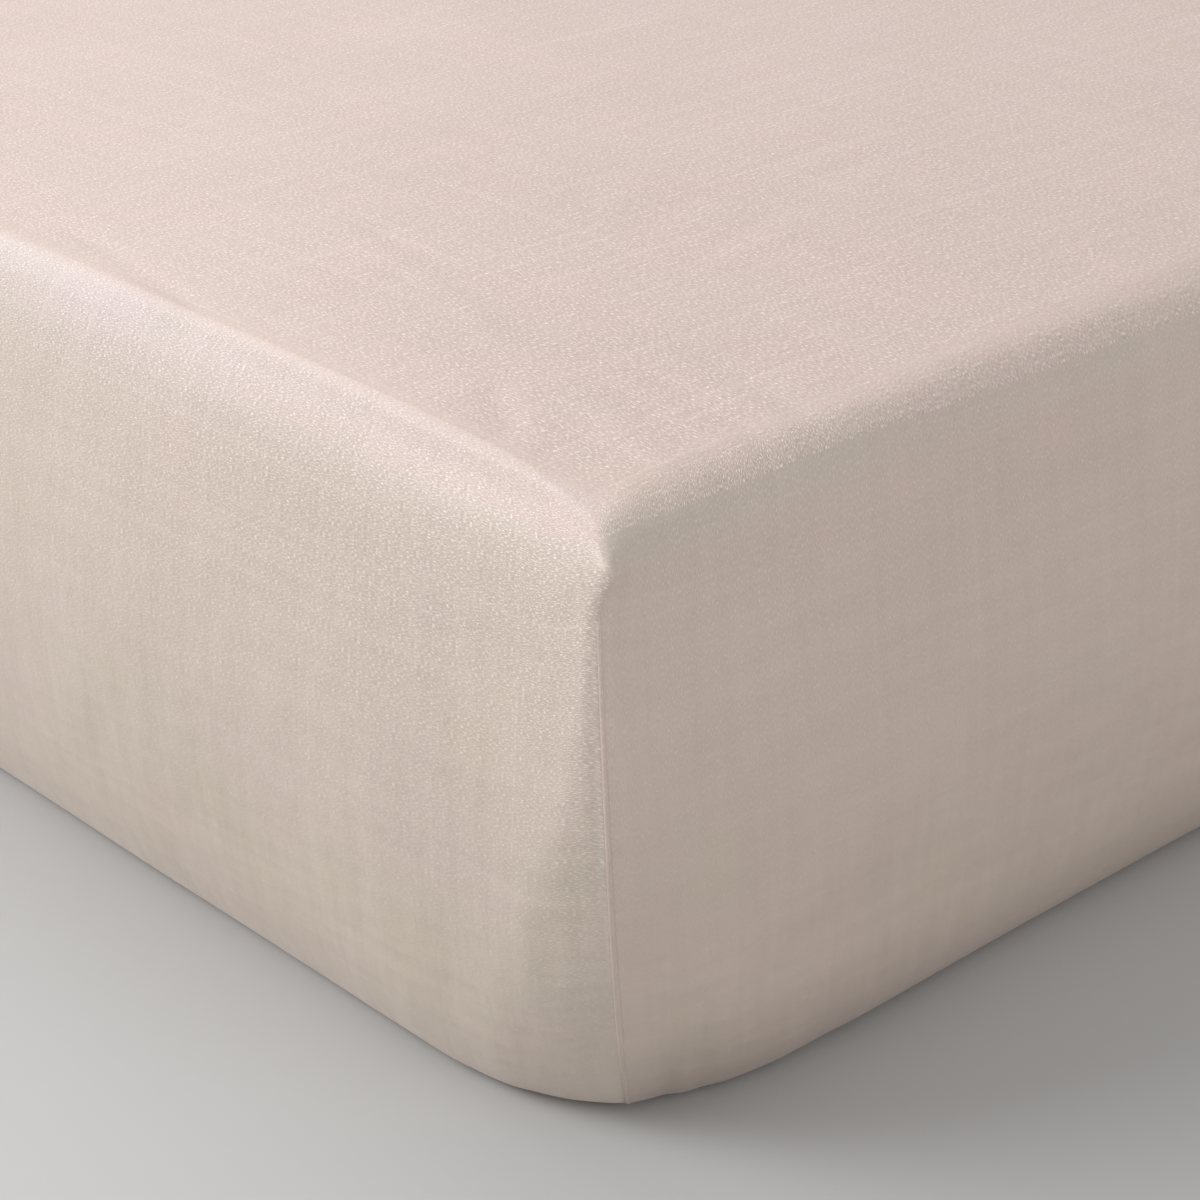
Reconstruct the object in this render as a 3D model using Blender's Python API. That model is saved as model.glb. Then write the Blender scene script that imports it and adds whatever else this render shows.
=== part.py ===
# A fitted sheet stretched over a plain single mattress. Metres, +Z up, origin under the middle of the base.
# The foot end faces -Y. The sheet is one cloth: a top with a flap down each side, the flaps sewn to each
# other at the four corners, and a hem that is turned under the mattress and gathered at the corners.

from collections import namedtuple
import math

import bmesh
import bpy

# The outside of the cloth
BED_WIDTH = 0.900  # along X
BED_LENGTH = 1.900  # along Y
EDGE_HEIGHT = 0.308  # of the long edges of the top
CROWN = 0.005  # how far the middle of the top stands over its long edges
CROWN_FALL_AT_ENDS = 0.4  # share of the crown that is lost at the foot and the head
CORNER_DROP = 0.009  # how far each corner of the top is drawn down
CORNER_DROP_REACH = 0.070
SIDE_BULGE = 0.016  # of each side at half height
SIDE_BULGE_POWER = 1.5  # more keeps the bulge further from the edges
TOP_ROUND = 0.018  # radius over the top edges, at the corners
TOP_ROUND_ENDS = 0.020  # the same along the foot and the head
TOP_ROUND_ENDS_RUN = 0.080  # distance from a corner over which it widens to that
TOP_RISE_ENDS = 0.045  # height over which the foot and the head turn down
TOP_RISE_ENDS_RUN = 0.040
TOP_ROUND_SIDES = 0.031  # radius along the long sides
TOP_ROUND_SIDES_RUN = 0.450
BOTTOM_ROUND = 0.0245  # how far each side turns in over the bottom edges
BOTTOM_RISE = 0.060  # height over which it does
CORNER_AT_TOP = 0.009  # plan radius of each corner
CORNER_AT_SEAM = 0.006  # where the seam starts and the corner is sharpest
CORNER_NARROWS = (0.292, 0.268)  # heights between which it goes from the one to the other
CORNER_AT_BOTTOM = 0.114
CORNER_AT_HEM = 0.030
CORNER_SPREAD = 1.6  # how late a corner widens on its way down
EAR = 0.0095  # how far each corner of the top stands out sideways over its seam
EAR_AT = 0.012  # below the top
EAR_REACH = 0.012
EAR_RUN_SIDE = 0.016
EAR_RUN_END = 0.030

# The cloth
CLOTH_THICK = 0.0015
HEM_UNDER = 0.110  # width of the cloth under the mattress
GATHER_RUN = 0.400  # distance from a corner over which the cloth is drawn together
SEAM_HALF_WIDTH = 0.005
SEAM_RISE = 0.0012
SEAM_START = 0.024  # below the top
SEAM_DRIFT = 0.009  # how far the foot of a seam lies towards the long side
TUCK_DEPTH = 0.0022  # of the dimple where a seam starts
TUCK_REACH = 0.010
MIDDLE_STEP = 0.100  # between the columns of points away from the corners

# The mattress, and the gaps between it and the cloth
TOP_GAP = 0.0006
BASE_GAP = 0.0003
SIDE_GAP = 0.0012
EDGE_EASE = 0.0026  # how much wider the mattress is rounded than the cloth over it
GATHER_ROOM = 0.0056  # depth of the hollow that the gathers press into each lower corner
GATHER_ROOM_FULL = 0.240  # distance from the corner to which the hollow is that deep
GATHER_ROOM_END = 0.400
MATTRESS_STEPS = (0.0, 0.048, 0.106, 0.170, 0.240, 0.320)

# The gathers of the hem beside each corner seam: distance from the seam, half width and rise off the floor
Gather = namedtuple("Gather", "distance width rise")
GATHERS = (
    Gather(0.020, 0.008, 0.0026),
    Gather(0.048, 0.010, 0.0034),
    Gather(0.085, 0.012, 0.0030),
    Gather(0.130, 0.015, 0.0022),
)
GATHER_START = 112  # the facing, in degrees from straight up, where they begin
GATHER_AT_ROLL = 0.25  # share of their rise where the cloth meets the floor

# How much of that rise each corner has, by the signs of its x and y
CORNER_GATHER = {(1, -1): 1.0, (-1, -1): 0.85, (1, 1): 0.9, (-1, 1): 1.0}

# Levels of a flap: about which way it faces in degrees from straight up, how far down the side it is as a
# share, and how far in under the mattress
Level = namedtuple("Level", "facing fall under")
CLOTH_LEVELS = (
    Level(0, 0.00, 0.0),
    Level(24, 0.00, 0.0),
    Level(48, 0.00, 0.0),
    Level(70, 0.00, 0.0),
    Level(90, 0.00, 0.0),
    Level(90, 0.13, 0.0),
    Level(90, 0.31, 0.0),
    Level(90, 0.50, 0.0),
    Level(90, 0.68, 0.0),
    Level(90, 0.84, 0.0),
    Level(90, 1.00, 0.0),
    Level(112, 1.00, 0.0),
    Level(135, 1.00, 0.0),
    Level(158, 1.00, 0.0),
    Level(180, 1.00, 0.0),
    Level(180, 1.00, 0.30 * HEM_UNDER),
    Level(180, 1.00, 0.65 * HEM_UNDER),
    Level(180, 1.00, HEM_UNDER),
)
MATTRESS_LEVELS = (
    Level(0, 0.00, 0.0),
    Level(30, 0.00, 0.0),
    Level(60, 0.00, 0.0),
    Level(90, 0.00, 0.0),
    Level(90, 0.25, 0.0),
    Level(90, 0.50, 0.0),
    Level(90, 0.75, 0.0),
    Level(90, 1.00, 0.0),
    Level(120, 1.00, 0.0),
    Level(150, 1.00, 0.0),
    Level(180, 1.00, 0.0),
)

# The main folds, each a soft ridge from one place to another. On a flap, along is x or y and over is the
# height; on the top they are x and y.
Fold = namedtuple("Fold", "panel along over to_along to_over width rise")
FOLDS = (
    Fold("side", -0.930, 0.055, -0.800, 0.130, 0.020, 0.0018),
    Fold("side", -0.800, 0.290, -0.740, 0.030, 0.045, 0.0012),
    Fold("side", -0.560, 0.290, -0.480, 0.020, 0.070, 0.0018),
    Fold("side", -0.200, 0.290, -0.170, 0.020, 0.080, 0.0014),
    Fold("side", 0.180, 0.290, 0.200, 0.020, 0.080, 0.0016),
    Fold("side", 0.620, 0.290, 0.700, 0.020, 0.070, 0.0018),
    Fold("foot", 0.330, 0.290, 0.320, 0.030, 0.040, 0.0012),
    Fold("foot", 0.140, 0.290, 0.100, 0.020, 0.060, 0.0016),
    Fold("foot", -0.140, 0.290, -0.230, 0.020, 0.070, 0.0018),
    Fold("head", 0.210, 0.290, 0.270, 0.020, 0.060, 0.0016),
    Fold("head", -0.080, 0.290, -0.110, 0.020, 0.070, 0.0012),
    Fold("head", -0.330, 0.290, -0.360, 0.020, 0.050, 0.0014),
    Fold("far side", -0.640, 0.290, -0.710, 0.020, 0.070, 0.0016),
    Fold("far side", -0.260, 0.290, -0.300, 0.020, 0.080, 0.0012),
    Fold("far side", 0.150, 0.290, 0.190, 0.020, 0.080, 0.0018),
    Fold("far side", 0.560, 0.290, 0.660, 0.020, 0.070, 0.0016),
    Fold("top", 0.380, -0.620, -0.260, -0.470, 0.055, 0.0010),
    Fold("top", 0.340, -0.100, -0.120, -0.250, 0.070, 0.0012),
    Fold("top", 0.120, -0.820, 0.200, -0.300, 0.060, 0.0010),
    Fold("top", -0.250, 0.050, -0.160, 0.560, 0.070, 0.0010),
    Fold("top", 0.260, 0.360, -0.300, 0.300, 0.070, 0.0012),
    Fold("top", 0.300, 0.700, -0.200, 0.780, 0.060, 0.0010),
)

# Where the bottom edge beside a corner seam stands out from a plain arc, or in. The corner is pointed at its
# seam, drawn in on both sides of it, and full again further along the long side.
Swell = namedtuple("Swell", "flap distance width push")
SWELLS = (
    Swell("end", 0.010, 0.030, 0.0024),
    Swell("end", 0.075, 0.030, -0.0032),
    Swell("side", 0.010, 0.030, -0.0040),
    Swell("side", 0.050, 0.032, -0.0068),
    Swell("side", 0.160, 0.050, 0.0020),
)

# How a form lies in the cloth's outside: how far back its sides are, how far below its top is, the height of
# its base, what its roundings are wider by, and whether it has the cloth's folds
Form = namedtuple("Form", "back below base wider folded")
CLOTH = Form(0.0, 0.0, 0.0, 0.0, True)
MATTRESS = Form(CLOTH_THICK + SIDE_GAP, CLOTH_THICK + TOP_GAP, CLOTH_THICK + BASE_GAP, EDGE_EASE, False)

HALF_WIDTH = BED_WIDTH / 2
HALF_LENGTH = BED_LENGTH / 2


def within(share):
    return min(max(share, 0.0), 1.0)


def ease_out(share):
    return 1 - (1 - within(share)) ** 2


def smooth(share):
    share = within(share)
    return share * share * (3 - 2 * share)


def bump(distance, width):
    return math.exp(-((distance / width) ** 2))


def to_corner(x, y):
    """Distance from the nearest corner of the cloth's top."""
    return math.hypot(HALF_WIDTH - abs(x), HALF_LENGTH - abs(y))


def fold_rise(panel, along, over):
    """How far the cloth stands out on its main folds."""
    rise = 0.0
    for fold in FOLDS:
        if fold.panel != panel:
            continue
        run_along = fold.to_along - fold.along
        run_over = fold.to_over - fold.over
        length = math.hypot(run_along, run_over)
        past = ((along - fold.along) * run_along + (over - fold.over) * run_over) / length
        aside = ((over - fold.over) * run_along - (along - fold.along) * run_over) / length
        past_end = max(-past, past - length, 0.0)
        rise += fold.rise * bump(aside, fold.width) * bump(past_end, fold.width)
    return rise


def gather_rise(x, y, distance, level):
    """How far the hem's gathers lift off the floor: least where they begin, most at the hem's edge."""
    if level.facing <= GATHER_START:
        return 0.0
    at_roll = GATHER_AT_ROLL * (level.facing - GATHER_START) / (180 - GATHER_START)
    share = at_roll + (1 - at_roll) * ease_out(level.under / HEM_UNDER)
    share *= CORNER_GATHER[math.copysign(1, x), math.copysign(1, y)]
    return share * sum(gather.rise * bump(distance - gather.distance, gather.width) for gather in GATHERS)


def gather_room(x, y):
    """Depth of the hollows in the mattress's lower corners."""
    fade = (to_corner(x, y) - GATHER_ROOM_FULL) / (GATHER_ROOM_END - GATHER_ROOM_FULL)
    return GATHER_ROOM * (1 - smooth(fade))


def drawn_in(x, y, inset):
    """A place on the flat cloth moved towards the middle, by the whole inset at the cloth's edges."""
    move_x = inset * (1 - ease_out((HALF_WIDTH - abs(x)) / GATHER_RUN))
    move_y = inset * (1 - ease_out((HALF_LENGTH - abs(y)) / GATHER_RUN))
    return x - math.copysign(move_x, x), y - math.copysign(move_y, y)


def top_point(form, x, y):
    """A point of the top, where x and y are measured on the flat cloth."""
    x, y = drawn_in(x, y, form.back + TOP_ROUND + form.wider)
    crown = CROWN * (1 - (x / HALF_WIDTH) ** 2) * (1 - CROWN_FALL_AT_ENDS * (y / HALF_LENGTH) ** 4)
    drop = CORNER_DROP * math.exp(-to_corner(x, y) / CORNER_DROP_REACH)
    z = EDGE_HEIGHT + crown - drop - form.below
    if form.folded:
        z += fold_rise("top", x, y)
    return x, y, z


def base_point(form, x, y):
    """A point of the underside of a closed form."""
    x, y = drawn_in(x, y, form.back + BOTTOM_ROUND + form.wider)
    return x, y, form.base + gather_room(x, y)


def top_turn(on_end, distance):
    """How far in and how far down the cloth turns over a top edge, at this distance from a corner."""
    if on_end:
        across = TOP_ROUND + (TOP_ROUND_ENDS - TOP_ROUND) * smooth(distance / TOP_ROUND_ENDS_RUN)
        return across, TOP_ROUND + (TOP_RISE_ENDS - TOP_ROUND) * smooth(distance / TOP_RISE_ENDS_RUN)
    across = TOP_ROUND + (TOP_ROUND_SIDES - TOP_ROUND) * smooth(distance / TOP_ROUND_SIDES_RUN)
    return across, across


def section_point(form, level, edge, turn):
    """Inset and height of a level in the side's own section, under a top edge of this height and turn."""
    facing = math.radians(level.facing)
    top_round, top_rise = turn[0] + form.wider, turn[1] + form.wider
    bottom_round, bottom_rise = BOTTOM_ROUND + form.wider, BOTTOM_RISE + form.wider
    high, low = edge - top_rise, form.base + bottom_rise
    if level.fall == 0:
        inset, z = top_round * (1 - math.sin(facing)), high + top_rise * math.cos(facing)
    elif level.facing == 90:
        inset, z = 0.0, high + (low - high) * level.fall
    else:
        inset, z = bottom_round * (1 - math.sin(facing)), low + bottom_rise * math.cos(facing)
    bulge = SIDE_BULGE * max(math.sin(math.pi * within(z / EDGE_HEIGHT)), 0.0) ** SIDE_BULGE_POWER
    return form.back + inset + level.under - bulge, z


def corner_radius(form, level, height_share):
    """Plan radius of the corners at a level: none at the top's flat, wide at the bottom, less at the hem."""
    at_floor = CORNER_AT_BOTTOM - BOTTOM_ROUND
    if level.under > 0:
        return form.wider + at_floor + (CORNER_AT_HEM - at_floor) * level.under / HEM_UNDER
    out = math.sin(math.radians(level.facing))
    if level.fall == 0:
        return (form.wider + CORNER_AT_TOP) * out
    spread = (1 - within(height_share)) ** CORNER_SPREAD
    radius = CORNER_AT_SEAM + (CORNER_AT_BOTTOM - CORNER_AT_SEAM) * spread
    begin, end = CORNER_NARROWS
    radius += (CORNER_AT_TOP - CORNER_AT_SEAM) * smooth((height_share * EDGE_HEIGHT - end) / (begin - end))
    return form.wider + radius - BOTTOM_ROUND * (1 - out)


def plan_point(on_end, distance, inset, radius, drift):
    """Place and outward normal, in the +X +Y quarter, of a column at this distance from the corner seam."""
    arc = radius * math.pi / 4
    near = 1 - ease_out(distance / GATHER_RUN)
    along = distance - (inset + radius - arc) * (1 - near)
    past_middle = drift * near - along if on_end else drift * near + along
    centre_x, centre_y = HALF_WIDTH - inset - radius, HALF_LENGTH - inset - radius
    if past_middle < -arc:
        return centre_x + past_middle + arc, centre_y + radius, 0.0, 1.0
    if past_middle > arc:
        return centre_x + radius, centre_y - past_middle + arc, 1.0, 0.0
    angle = math.radians(45) - (past_middle / radius if radius else 0.0)
    normal_x, normal_y = math.cos(angle), math.sin(angle)
    return centre_x + radius * normal_x, centre_y + radius * normal_y, normal_x, normal_y


def flap_point(form, x, y, level):
    """A point of a flap or a side. x and y say where its column leaves the top of the flat cloth."""
    on_end = abs(y) == HALF_LENGTH
    distance = HALF_WIDTH - abs(x) if on_end else HALF_LENGTH - abs(y)
    edge = top_point(form, x, y)[2]
    inset, z = section_point(form, level, edge, top_turn(on_end, distance))
    share = within(z / EDGE_HEIGHT)
    radius = corner_radius(form, level, share)
    at_x, at_y, normal_x, normal_y = plan_point(on_end, distance, inset, radius, SEAM_DRIFT * (1 - share))

    flap = "end" if on_end else "side"
    swell = sum(s.push * bump(distance - s.distance, s.width) for s in SWELLS if s.flap == flap)
    push = swell * (1 - share) ** 2
    if form.folded:
        panel = ("foot" if y < 0 else "head") if on_end else ("side" if x > 0 else "far side")
        push += fold_rise(panel, math.copysign(at_x, x) if on_end else math.copysign(at_y, y), z)
        below = edge - z
        if distance == 0:
            push += SEAM_RISE * smooth(below / SEAM_START) - TUCK_DEPTH * bump(below - SEAM_START, TUCK_REACH)
        ear_run = bump(distance, EAR_RUN_END) if on_end else math.exp(-distance / EAR_RUN_SIDE)
        at_x += EAR * math.sin(math.radians(level.facing)) * bump(below - EAR_AT, EAR_REACH) * ear_run
        z += gather_rise(x, y, distance, level)
    push *= math.sin(math.radians(level.facing))
    at_x += normal_x * push
    at_y += normal_y * push
    if not form.folded:
        z += gather_room(at_x, at_y) * smooth(1 - share)
    return math.copysign(at_x, x), math.copysign(at_y, y), z


def cloth_steps():
    """Distances of the columns from a seam: at it, beside it, on each gather and midway to the next."""
    steps = [0.0, SEAM_HALF_WIDTH]
    for gather, after in zip(GATHERS, GATHERS[1:]):
        steps += [gather.distance, (gather.distance + after.distance) / 2]
    last = GATHERS[-1]
    return steps + [last.distance, last.distance + 2 * last.width]


def stations(half, steps):
    """Places from -half to half: these steps in from each end, and about even ones between."""
    between = half - steps[-1]
    count = round(between / MIDDLE_STEP)
    inner = [between * i / count for i in range(count)]
    right = inner + [half - step for step in reversed(steps)]
    return [-place for place in reversed(right[1:])] + right


def border_columns(xs, ys):
    """Indices of the columns round the top's edge, anticlockwise from the corner at -X -Y."""
    last_x, last_y = len(xs) - 1, len(ys) - 1
    foot = [(i, 0) for i in range(last_x)]
    side = [(last_x, j) for j in range(last_y)]
    head = [(i, last_y) for i in range(last_x, 0, -1)]
    far_side = [(0, j) for j in range(last_y, 0, -1)]
    return foot + side + head + far_side


def add_top(bm, grid, xs, ys, form):
    """Fills the top with cells of two steps each way, joined to every point of its border."""
    for i in range(0, len(xs), 2):
        for j in range(0, len(ys), 2):
            if (i, j) not in grid:
                grid[i, j] = bm.verts.new(top_point(form, xs[i], ys[j]))
    around = ((0, 0), (1, 0), (2, 0), (2, 1), (2, 2), (1, 2), (0, 2), (0, 1))
    for i in range(0, len(xs) - 1, 2):
        for j in range(0, len(ys) - 1, 2):
            bm.faces.new([grid[i + a, j + b] for a, b in around if (i + a, j + b) in grid])


def add_base(bm, grid, xs, ys, form):
    """Fills the underside, facing down."""
    for i, x in enumerate(xs):
        for j, y in enumerate(ys):
            if (i, j) not in grid:
                grid[i, j] = bm.verts.new(base_point(form, x, y))
    for i in range(len(xs) - 1):
        for j in range(len(ys) - 1):
            bm.faces.new((grid[i, j], grid[i, j + 1], grid[i + 1, j + 1], grid[i + 1, j]))


def draped_object(name, form, steps, levels, closed):
    """The top with its flaps or sides below it, and an underside where the form is closed."""
    xs = stations(HALF_WIDTH, steps)
    ys = stations(HALF_LENGTH, steps)
    border = border_columns(xs, ys)
    bm = bmesh.new()
    rings = []
    for level in levels:
        rings.append([bm.verts.new(flap_point(form, xs[i], ys[j], level)) for i, j in border])
    for upper, lower in zip(rings, rings[1:]):
        for k in range(len(border)):
            n = (k + 1) % len(border)
            bm.faces.new((upper[k], lower[k], lower[n], upper[n]))
    add_top(bm, dict(zip(border, rings[0])), xs, ys, form)
    if closed:
        add_base(bm, dict(zip(border, rings[-1])), xs, ys, form)
    mesh = bpy.data.meshes.new(name)
    bm.to_mesh(mesh)
    bm.free()
    mesh.shade_smooth()
    obj = bpy.data.objects.new(name, mesh)
    bpy.context.scene.collection.objects.link(obj)
    return obj


def material(name, color, roughness, sheen):
    made = bpy.data.materials.new(name)
    made.use_nodes = True
    shader = made.node_tree.nodes["Principled BSDF"]
    shader.inputs["Base Color"].default_value = (*color, 1)
    shader.inputs["Roughness"].default_value = roughness
    shader.inputs["Metallic"].default_value = 0.0
    shader.inputs["Sheen Weight"].default_value = sheen
    return made


def fitted_sheet():
    obj = draped_object("fitted_sheet", CLOTH, cloth_steps(), CLOTH_LEVELS, False)
    thickness = obj.modifiers.new("thickness", "SOLIDIFY")
    thickness.thickness = CLOTH_THICK
    thickness.offset = -1
    obj.data.materials.append(material("sateen", (0.70, 0.60, 0.55), 0.5, 0.3))
    return obj


def mattress():
    obj = draped_object("mattress", MATTRESS, MATTRESS_STEPS, MATTRESS_LEVELS, True)
    obj.data.materials.append(material("ticking", (0.76, 0.74, 0.70), 0.8, 0.1))
    return obj


def main():
    for obj in list(bpy.data.objects):
        bpy.data.objects.remove(obj, do_unlink=True)
    fitted_sheet()
    mattress()


main()
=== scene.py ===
import math

import bpy
import numpy as np
from mathutils import Matrix, Vector


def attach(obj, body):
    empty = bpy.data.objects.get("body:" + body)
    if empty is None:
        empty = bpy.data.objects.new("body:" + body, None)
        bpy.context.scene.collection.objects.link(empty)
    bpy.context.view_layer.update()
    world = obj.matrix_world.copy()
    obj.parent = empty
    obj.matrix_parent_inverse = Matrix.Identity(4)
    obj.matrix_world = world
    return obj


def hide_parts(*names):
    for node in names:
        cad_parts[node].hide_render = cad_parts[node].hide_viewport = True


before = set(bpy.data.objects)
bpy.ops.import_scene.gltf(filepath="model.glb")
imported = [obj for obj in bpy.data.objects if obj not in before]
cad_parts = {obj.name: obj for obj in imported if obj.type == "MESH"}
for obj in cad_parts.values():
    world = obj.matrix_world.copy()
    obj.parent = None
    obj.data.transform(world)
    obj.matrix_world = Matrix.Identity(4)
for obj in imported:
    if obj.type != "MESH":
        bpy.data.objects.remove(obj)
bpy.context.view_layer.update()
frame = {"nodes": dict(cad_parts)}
print("frame loaded:", ", ".join(frame["nodes"]))


class Wire:
    # a value between two shader nodes, so that maths can be written as Python
    def __init__(self, shader, socket):
        self.shader = shader
        self.socket = socket

    def maths(self, operation, first, second=0.0):
        return self.shader.add("ShaderNodeMath", {"operation": operation}, {0: first, 1: second})

    def __add__(self, other):
        return self.maths("ADD", self, other)

    def __radd__(self, other):
        return self.maths("ADD", other, self)

    def __sub__(self, other):
        return self.maths("SUBTRACT", self, other)

    def __rsub__(self, other):
        return self.maths("SUBTRACT", other, self)

    def __mul__(self, other):
        return self.maths("MULTIPLY", self, other)

    def __rmul__(self, other):
        return self.maths("MULTIPLY", other, self)

    def __truediv__(self, other):
        return self.maths("DIVIDE", self, other)

    def __lt__(self, other):
        return self.maths("LESS_THAN", self, other)

    def __abs__(self):
        return self.maths("ABSOLUTE", self)

    def atLeast(self, other):
        return self.maths("MAXIMUM", self, other)

    def atMost(self, other):
        return self.maths("MINIMUM", self, other)


class Shader:
    def __init__(self, name):
        self.material = bpy.data.materials.new(name)
        self.material.use_nodes = True
        self.tree = self.material.node_tree
        self.surface = self.tree.nodes["Principled BSDF"]

    def add(self, kind, settings=None, inputs=None, output=0):
        node = self.tree.nodes.new(kind)
        for key, value in (settings or {}).items():
            setattr(node, key, value)
        for key, value in (inputs or {}).items():
            self.feed(node.inputs[key], value)
        return Wire(self, node.outputs[output])

    def feed(self, socket, value):
        if isinstance(value, Wire):
            self.tree.links.new(value.socket, socket)
        else:
            socket.default_value = value

    def set(self, **values):
        # underscores stand for the spaces in the sockets' names
        for key, value in values.items():
            self.feed(self.surface.inputs[key.replace("_", " ")], value)

    def noise(self, place, scale, detail=2.0, roughness=0.5):
        # the scale is the features to a metre, along x and along y
        place = self.add("ShaderNodeMapping", {}, {"Vector": place, "Scale": (*scale, 1.0)})
        inputs = {"Vector": place, "Scale": 1.0, "Detail": detail, "Roughness": roughness}
        return self.add("ShaderNodeTexNoise", {}, inputs)

    def blend(self, share, first, second, how="MIX"):
        # a Mix node has its two colours in sockets 6 and 7, and its colour comes out of socket 2
        settings = {"data_type": "RGBA", "blend_type": how}
        first, second = (color if isinstance(color, Wire) else (*color, 1) for color in (first, second))
        return self.add("ShaderNodeMix", settings, {"Factor": share, 6: first, 7: second}, output=2)

    def bump(self, height, depth, strength=1.0, under=None):
        inputs = {"Height": height, "Distance": depth, "Strength": strength}
        if under:
            inputs["Normal"] = under
        return self.add("ShaderNodeBump", {}, inputs)


def easeOut(share):
    return 1 - (1 - np.clip(share, 0, 1)) ** 2


def smooth(share):
    share = np.clip(share, 0, 1)
    return share * share * (3 - 2 * share)


def bump(distance, width):
    return np.exp(-((distance / width) ** 2))


def linesAcross(half, spacing, every):
    # places from -half to half, packed by the spacing wanted at each, in whole groups of this many
    fine = np.linspace(-half, half, grain["tries"])
    count = np.concatenate([[0], np.cumsum(np.diff(fine) / spacing(fine[1:]))])
    groups = round(count[-1] / every)
    return np.interp(np.linspace(0, count[-1], every * groups + 1), count, fine)


def addObject(name, mesh):
    # the new object is the only one selected
    obj = bpy.data.objects.new(name, mesh)
    bpy.context.scene.collection.objects.link(obj)
    bpy.ops.object.select_all(action="DESELECT")
    bpy.context.view_layer.objects.active = obj
    obj.select_set(True)
    return obj


# the cloth has the same form as its solid
sheet = {
    "halfWidth": 0.450,
    "halfLength": 0.950,
    "edgeHeight": 0.308,  # of the long edges of the top
    "crown": 0.005,
    "crownFallAtEnds": 0.4,
    "cornerDrop": 0.009,
    "cornerDropReach": 0.070,
    "endDrop": 0.0026,  # the last of the top bends down a little at the foot and the head
    "endDropReach": 0.024,
    "sideBulge": 0.016,
    "sideBulgePower": 1.5,  # more keeps the bulge further from the edges
    "topRoundCorners": 0.018,
    "topRoundEnds": 0.025,
    "topRoundEndsRun": 0.080,
    "topRiseEnds": 0.045,
    "topRiseEndsRun": 0.040,
    "topRoundSides": 0.031,
    "topRoundSidesRun": 0.450,
    "topRoundNear": 0.008,  # what is added to it near each corner
    "topRoundNearFrom": 0.034,
    "topRoundNearTo": (0.060, 0.140),
    "bottomRound": 0.0245,
    "bottomRise": 0.060,
    "cornerAtTop": 0.005,
    "cornerAtSeam": 0.0035,
    "cornerNarrows": (0.292, 0.268),  # heights between which the one becomes the other
    "cornerAtBottom": 0.114,
    "cornerAtHem": 0.030,
    "cornerSpread": 1.6,  # more keeps the corner narrow further down
    "cornerSharp": (0.95, 0.45),  # shares of the height between which the corner loses its pinched form
    "ear": 0.0095,  # how far each corner of the top stands out sideways over its seam
    "earAt": 0.012,  # below the top
    "earReach": 0.012,
    "earRunSide": 0.016,  # how far it runs along each flap
    "earRunEnd": 0.030,
    "thick": 0.0015,
    "hemUnder": 0.110,
    "gatherRun": 0.400,  # how far in from its edges the top is drawn together
    "gatherStart": 112,  # where the hem's gathers start, in degrees from straight up
    "gatherAtRoll": 0.25,  # share of them where the cloth has turned under
    "seamStart": 0.024,  # below the top
    "seamDrift": 0.009,  # how far the seam's foot lies towards the long side
    "seamFold": 0.0080,  # how far the cloth is pinched out along each corner seam, at most
    "seamFoldShare": 0.28,  # the same as a share of the corner's radius
    "seamFoldRun": 0.015,
    "seamFoldBegins": 0.012,  # height over which it begins, half of it above the start of the seam
    "seamFoldLow": 0.1,  # share of it that is left at the floor
    "seamFoldWhole": 0.35,  # share of the height from which it is whole
    "grooveAt": 0.0024,  # a groove on each side of the seam, by its distance from it
    "grooveWidth": 0.0014,
    "grooveDepth": 0.0004,
    "grooveBegins": 0.010,
    "grooveFades": (0.30, 0.40),  # share of the height where it is gone, and over what run it is back
    "tuckDepth": 0.0018,  # of the tuck where the seam starts
    "tuckReach": 0.009,
    "tuckWidth": 0.004,
    "leanAt": (0.995, 0.998),  # shares of x and of y at which the slope of the top's last part is taken
    "flat": (1.750, 2.756),  # the rectangle that it is cut from
    "cornerSquare": 0.450,  # what is cut out of each corner of it
}

# how fine the mesh is, in metres between its lines: at the corner that shows and at the others, and what is
# added for each metre away from them, up to a limit that is low in the part that shows
grain = {
    "atShownCorner": 0.0013,
    "atCorner": 0.0040,
    "grow": 0.055,
    "shown": 0.0054,
    "unseen": 0.0170,
    "shownReach": 0.55,  # from the shown corner
    "unseenRun": 0.50,  # over which the limit changes
    "tries": 8001,  # places along each side from which the lines are chosen
    "levels": (8, 27, 9, 6),  # over the edge, down the side, round the bottom, along the hem
    "insideEvery": 3,  # the inside of the cloth has one line for this many of the outside
}

# ridges of the hem beside each corner seam, in millimetres: distance from the seam, half width, rise
gathers = [
    (20, 8, 2.6),
    (48, 10, 3.4),
    (85, 12, 3.0),
    (130, 15, 2.2),
    (34, 5, 0.6),
    (67, 6, 0.8),
    (106, 7, 0.7),
]
cornerGather = {(1, -1): 1.0, (-1, -1): 0.85, (1, 1): 0.9, (-1, 1): 1.0}

# puckers low beside each corner seam, where the gathers start, in millimetres: flap, distance from the seam,
# half width, push
puckers = [
    ("side", 14, 4, 1.1),
    ("side", 24, 4, -1.2),
    ("side", 33, 3.5, 1.2),
    ("side", 43, 4.5, -0.8),
    ("side", 55, 5, 0.9),
    ("side", 72, 7, -0.8),
    ("side", 93, 8, 0.9),
    ("side", 150, 11, 0.8),
    ("end", 20, 6, 0.5),
    ("end", 36, 7, -0.6),
    ("end", 58, 8, 0.6),
    ("end", 85, 9, -0.5),
]

# where the bottom edge beside a seam stands out or in, given in the same way
swells = [
    ("end", 10, 30, 2.4),
    ("end", 75, 30, -3.2),
    ("side", 10, 30, -4.0),
    ("side", 50, 32, -6.8),
    ("side", 160, 50, 2.0),
    ("side", 0, 12, 6.3),
]

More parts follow.
